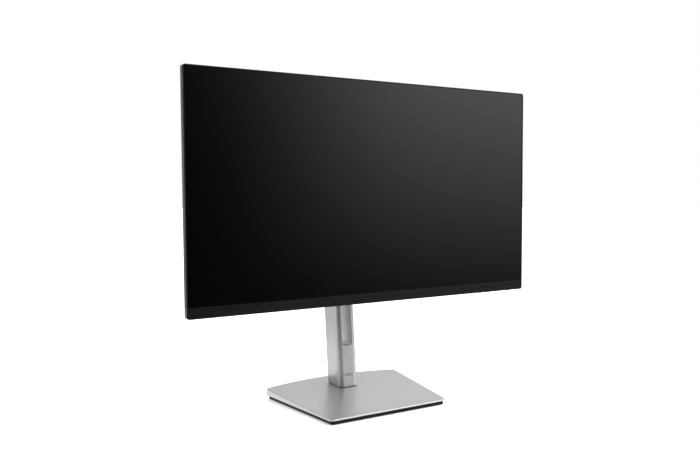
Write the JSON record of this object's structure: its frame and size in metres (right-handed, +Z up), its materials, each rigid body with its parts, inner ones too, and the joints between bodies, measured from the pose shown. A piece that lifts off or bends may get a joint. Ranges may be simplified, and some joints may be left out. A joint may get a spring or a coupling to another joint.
{
  "type": "computer monitor",
  "caption": "Flat widescreen monitor with a thin black frame on a silver height-adjustable column and low trapezoid base; swivels, tilts, lifts and pivots.",
  "frame": {"origin": "on the desk plane, under the middle of the monitor's overall width and depth", "axes": "+Z up, the screen faces -Y, +X to the viewer's right"},
  "size_m": [0.6112, 0.2284, 0.5316],
  "materials": {
    "black_plastic": "satin black moulding",
    "chin_plastic": "brushed black strip",
    "screen": "anti-glare coated, dark when off",
    "inner_plastic": "black",
    "film": "white translucent sheet",
    "clear_plastic": "clear acrylic",
    "board": "green circuit board with dark chips",
    "zinc_steel": "zinc plated",
    "cover_plastic": "fine textured black",
    "lens": "smoky lens",
    "key_plastic": "satin black",
    "spring_steel": "spring steel",
    "bearing_plastic": "off-white acetal",
    "silver_plastic": "silver painted",
    "silver_paint": "silver painted",
    "black_paint": "black powder coat",
    "rubber": "matt"
  },
  "bodies": {
    "base": {"base_cover": "silver_plastic", "base_plate": "black_paint", "base_screws": "zinc_steel", "base_feet": "rubber", "bearing_plate": "zinc_steel", "swivel_washers": "bearing_plastic"},
    "column": {"column_shell": "silver_paint", "column_back": "silver_plastic", "column_cap": "silver_plastic", "lift_rail": "zinc_steel", "spring_strip": "spring_steel", "swivel_spindle": "zinc_steel", "swivel_retainer": "zinc_steel", "column_screws": "zinc_steel"},
    "carriage": {"lift_carriage": "zinc_steel", "carriage_pads": "bearing_plastic", "tilt_shaft": "zinc_steel", "tilt_nuts": "zinc_steel", "tilt_springs": "spring_steel"},
    "spool": {"spring_spool": "spring_steel"},
    "yoke": {"tilt_yoke": "zinc_steel", "hinge_cover": "silver_plastic", "pivot_washers": "bearing_plastic"},
    "power_key": {"power_button": "key_plastic"},
    "menu_key_a": {"menu_key_1": "key_plastic"},
    "menu_key_b": {"menu_key_2": "key_plastic"},
    "menu_key_c": {"menu_key_3": "key_plastic"},
    "menu_key_d": {"menu_key_4": "key_plastic"},
    "release": {"release_button": "key_plastic"},
    "latch": {"release_latch": "zinc_steel"},
    "head": {"front_frame": "black_plastic", "chin_bezel": "chin_plastic", "lcd_cell": "screen", "mould_frame": "inner_plastic", "optical_films": "film", "light_guide": "clear_plastic", "led_strip": "board", "panel_tray": "zinc_steel", "driver_board": "board", "driver_flexes": "film", "chassis_plate": "zinc_steel", "main_board": "board", "power_board": "board", "board_screws": "zinc_steel", "ac_inlet": "inner_plastic", "hdmi_socket": "zinc_steel", "displayport_socket": "zinc_steel", "usb_b_socket": "zinc_steel", "usb_a_sockets": "zinc_steel", "vesa_posts": "zinc_steel", "stand_bracket": "zinc_steel", "rear_cover": "cover_plastic", "power_led_lens": "lens", "key_board": "board", "latch_guide": "inner_plastic", "latch_spring": "spring_steel", "stand_plate": "zinc_steel", "pivot_shaft": "zinc_steel", "pivot_nut": "zinc_steel"}
  },
  "joints": [
    {"name": "swivel", "type": "hinge", "parent": "base", "child": "column", "pos_m": [0, 0.0535, 0], "axis": [0, 0, 1], "range_deg": [-45, 45]},
    {"name": "lift", "type": "slide", "parent": "column", "child": "carriage", "axis": [0, 0.0965, 0.9953], "range_m": [-0.15, 0], "deforming": ["spring_strip"]},
    {"name": "spool_turn", "type": "hinge", "parent": "carriage", "child": "spool", "pos_m": [0, 0.0835, 0.36857], "axis": [1, 0, 0], "range_deg": [0, 735]},
    {"name": "tilt", "type": "hinge", "parent": "carriage", "child": "yoke", "pos_m": [0, 0.0115, 0.3535], "axis": [-1, 0, 0], "range_deg": [-5, 23]},
    {"name": "pivot", "type": "hinge", "parent": "yoke", "child": "head", "pos_m": [0, -0.0165, 0.3535], "axis": [0, 1, 0], "range_deg": [0, 40]},
    {"name": "power_press", "type": "slide", "parent": "head", "child": "power_key", "axis": [0, 0, 1], "range_m": [0, 0.00075], "stiffness_N_per_m": 900},
    {"name": "menu_press_a", "type": "slide", "parent": "head", "child": "menu_key_a", "axis": [0, 0, 1], "range_m": [0, 0.00075], "stiffness_N_per_m": 900},
    {"name": "menu_press_b", "type": "slide", "parent": "head", "child": "menu_key_b", "axis": [0, 0, 1], "range_m": [0, 0.00075], "stiffness_N_per_m": 900},
    {"name": "menu_press_c", "type": "slide", "parent": "head", "child": "menu_key_c", "axis": [0, 0, 1], "range_m": [0, 0.00075], "stiffness_N_per_m": 900},
    {"name": "menu_press_d", "type": "slide", "parent": "head", "child": "menu_key_d", "axis": [0, 0, 1], "range_m": [0, 0.00075], "stiffness_N_per_m": 900},
    {"name": "release_press", "type": "slide", "parent": "head", "child": "release", "axis": [0, -1, 0], "range_m": [0, 0.0025], "stiffness_N_per_m": 800},
    {"name": "latch_slide", "type": "slide", "parent": "head", "child": "latch", "axis": [0, 0, -1], "range_m": [0, 0.0025], "deforming": ["latch_spring"]}
  ],
  "couplings": [
    {"joint": "spool_turn", "follows": "lift", "rad_per_m": -85.47},
    {"joint": "latch_slide", "follows": "release_press", "ratio": 1}
  ]
}
